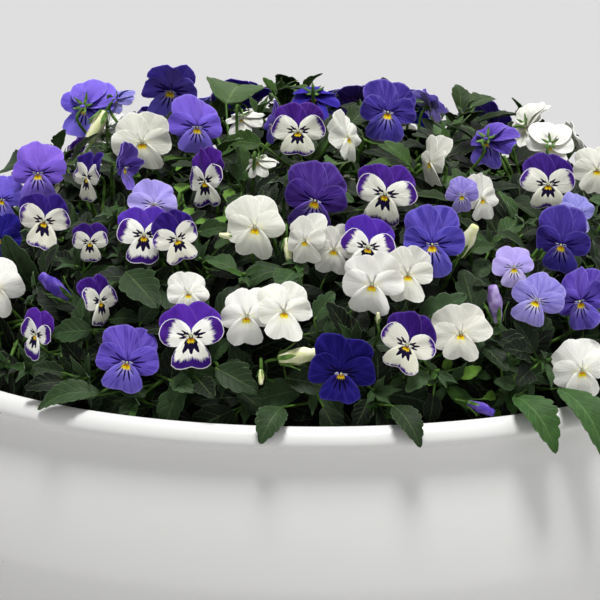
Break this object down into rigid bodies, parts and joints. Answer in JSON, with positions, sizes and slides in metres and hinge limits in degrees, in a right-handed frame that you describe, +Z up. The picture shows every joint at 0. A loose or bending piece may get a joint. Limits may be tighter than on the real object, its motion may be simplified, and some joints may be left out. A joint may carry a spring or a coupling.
{
  "type": "potted viola",
  "caption": "Round white glazed planter filled with compost and planted with a low mound of violas in mixed violet, lavender, white and bicoloured bloom",
  "frame": {"origin": "the middle of the planter's foot, on the surface that it stands on", "axes": "+Z up along the planter's axis, -Y to the front that the picture shows, +X to the right of it"},
  "size_m": [0.56, 0.56, 0.4654],
  "materials": {
    "planter": "smooth white gloss glaze with fine specks",
    "compost": "dark crumbly peat compost",
    "violet": "soft satin petals, violet",
    "lavender": "soft satin petals, lavender",
    "white": "soft satin petals, white",
    "bicolour": "soft satin petals, purple over white",
    "dark": "soft velvety petals, deep violet"
  },
  "bodies": {
    "root": {"bicolour_viola_01": "bicolour", "bicolour_viola_02": "bicolour", "bicolour_viola_03": "bicolour", "bicolour_viola_04": "bicolour", "bicolour_viola_05": "bicolour", "bicolour_viola_06": "bicolour", "bicolour_viola_07": "bicolour", "bicolour_viola_08": "bicolour", "compost": "compost", "dark_viola_01": "dark", "dark_viola_02": "dark", "dark_viola_03": "dark", "dark_viola_04": "dark", "dark_viola_05": "dark", "dark_viola_06": "dark", "dark_viola_07": "dark", "dark_viola_08": "dark", "lavender_viola_01": "lavender", "lavender_viola_02": "lavender", "lavender_viola_03": "lavender", "lavender_viola_04": "lavender", "lavender_viola_05": "lavender", "lavender_viola_06": "lavender", "lavender_viola_07": "lavender", "planter": "planter", "violet_viola_01": "violet", "violet_viola_02": "violet", "violet_viola_03": "violet", "violet_viola_04": "violet", "violet_viola_05": "violet", "violet_viola_06": "violet", "violet_viola_07": "violet", "violet_viola_08": "violet", "violet_viola_09": "violet", "white_viola_01": "white", "white_viola_02": "white", "white_viola_03": "white", "white_viola_04": "white", "white_viola_05": "white", "white_viola_06": "white", "white_viola_07": "white", "white_viola_08": "white", "white_viola_09": "white", "white_viola_10": "white", "white_viola_11": "white"}
  },
  "joints": []
}
